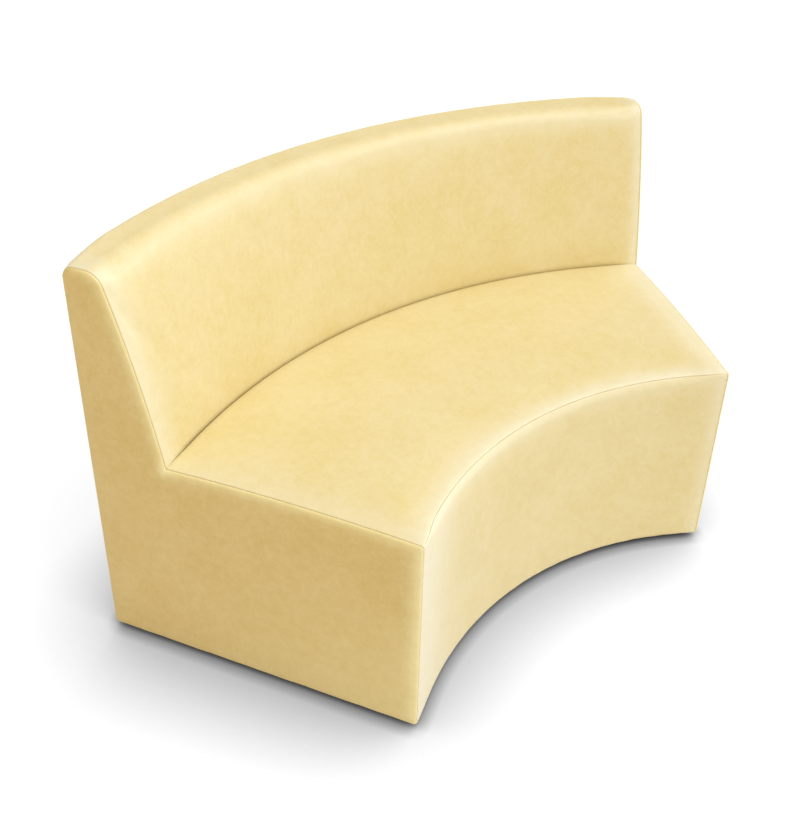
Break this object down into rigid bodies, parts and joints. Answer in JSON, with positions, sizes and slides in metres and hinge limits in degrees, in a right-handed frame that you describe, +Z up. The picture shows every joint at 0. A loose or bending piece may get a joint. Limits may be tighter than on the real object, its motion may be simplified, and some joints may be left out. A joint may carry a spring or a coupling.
{
  "type": "upholstered banquette bench",
  "caption": "Curved upholstered banquette bench with a low sloping backrest, fully covered in pale yellow vinyl over a plywood frame.",
  "frame": {"origin": "on the floor under the middle of the bench's bounding box", "axes": "+Z up, -Y towards the hollow front that the sitter faces, +X to the right for someone looking at the front"},
  "size_m": [1.4994, 0.8189, 0.853],
  "materials": {
    "vinyl": "pale yellow coated upholstery vinyl with a fine grain, soft cloudy tone and a satin sheen",
    "foam": "open-cell upholstery foam, cream",
    "plywood": "birch plywood, sanded, unfinished",
    "beech": "beech, planed, unfinished",
    "dust_cloth": "black non-woven dust cloth",
    "glide_plastic": "black moulded plastic, matte",
    "zinc_screw": "zinc-plated steel"
  },
  "bodies": {
    "root": {"left_end_panel": "plywood", "left_rib": "plywood", "center_rib": "plywood", "right_rib": "plywood", "right_end_panel": "plywood", "front_bottom_rail": "beech", "rear_bottom_rail": "beech", "front_seat_rail": "beech", "rear_seat_rail": "beech", "back_mid_rail": "beech", "back_top_rail": "beech", "front_panel": "plywood", "rear_panel": "plywood", "inner_back_panel": "plywood", "seat_deck": "plywood", "deck_cleats": "beech", "corner_blocks": "beech", "panel_screws": "zinc_screw", "deck_screws": "zinc_screw", "glides": "glide_plastic", "glide_screws": "zinc_screw", "seat_foam": "foam", "back_foam": "foam", "front_pad": "foam", "rear_pad": "foam", "left_end_pad": "foam", "right_end_pad": "foam", "seat_cover": "vinyl", "front_cover": "vinyl", "inside_back_cover": "vinyl", "outside_back_cover": "vinyl", "left_end_cover": "vinyl", "right_end_cover": "vinyl", "left_end_hem": "vinyl", "right_end_hem": "vinyl", "dust_cover": "dust_cloth"}
  },
  "joints": []
}
